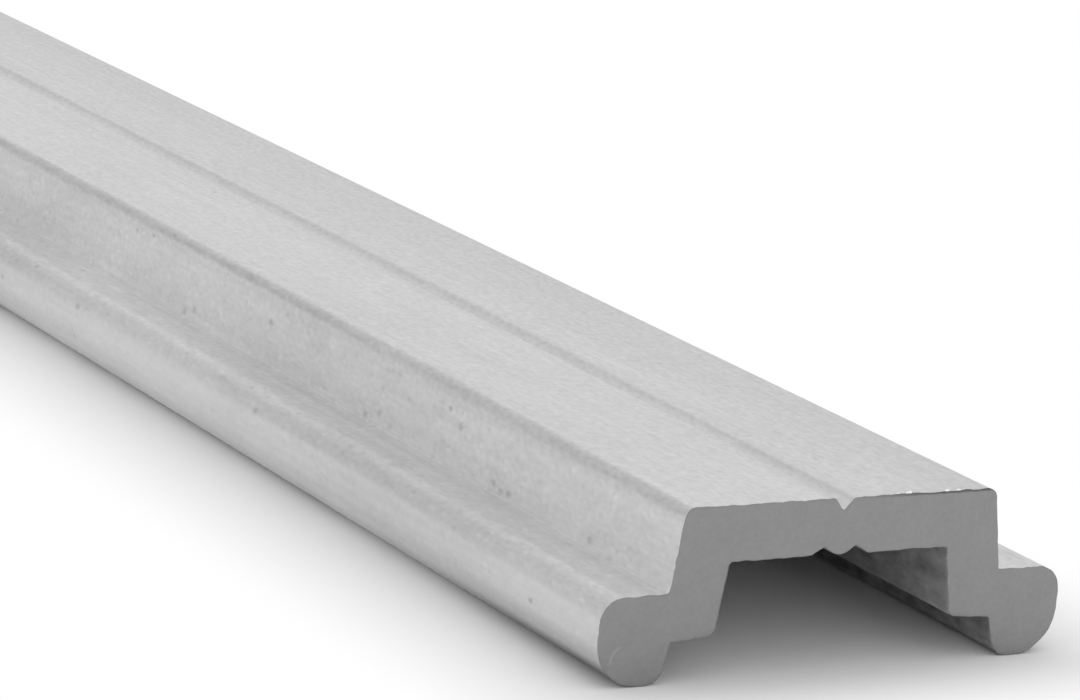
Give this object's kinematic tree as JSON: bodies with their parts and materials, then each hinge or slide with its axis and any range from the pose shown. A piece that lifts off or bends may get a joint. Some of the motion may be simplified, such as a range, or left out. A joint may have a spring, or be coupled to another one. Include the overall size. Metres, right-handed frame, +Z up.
{
  "type": "aluminium extrusion profile",
  "caption": "Straight hat-section aluminium bar with splayed legs, round-edged feet, a vee drilling line on top and an open channel below, for screwing down and carrying a clip-on cover.",
  "frame": {"origin": "on the floor under the middle of the bar, halfway along its length and on its centre plane", "axes": "+Y along the length, +Z up through the top plate, +X across the section"},
  "size_m": [0.036, 1, 0.012],
  "materials": {
    "aluminium": "mill finish, satin, with sawn ends"
  },
  "bodies": {
    "root": {"hat_profile": "aluminium"}
  },
  "joints": []
}
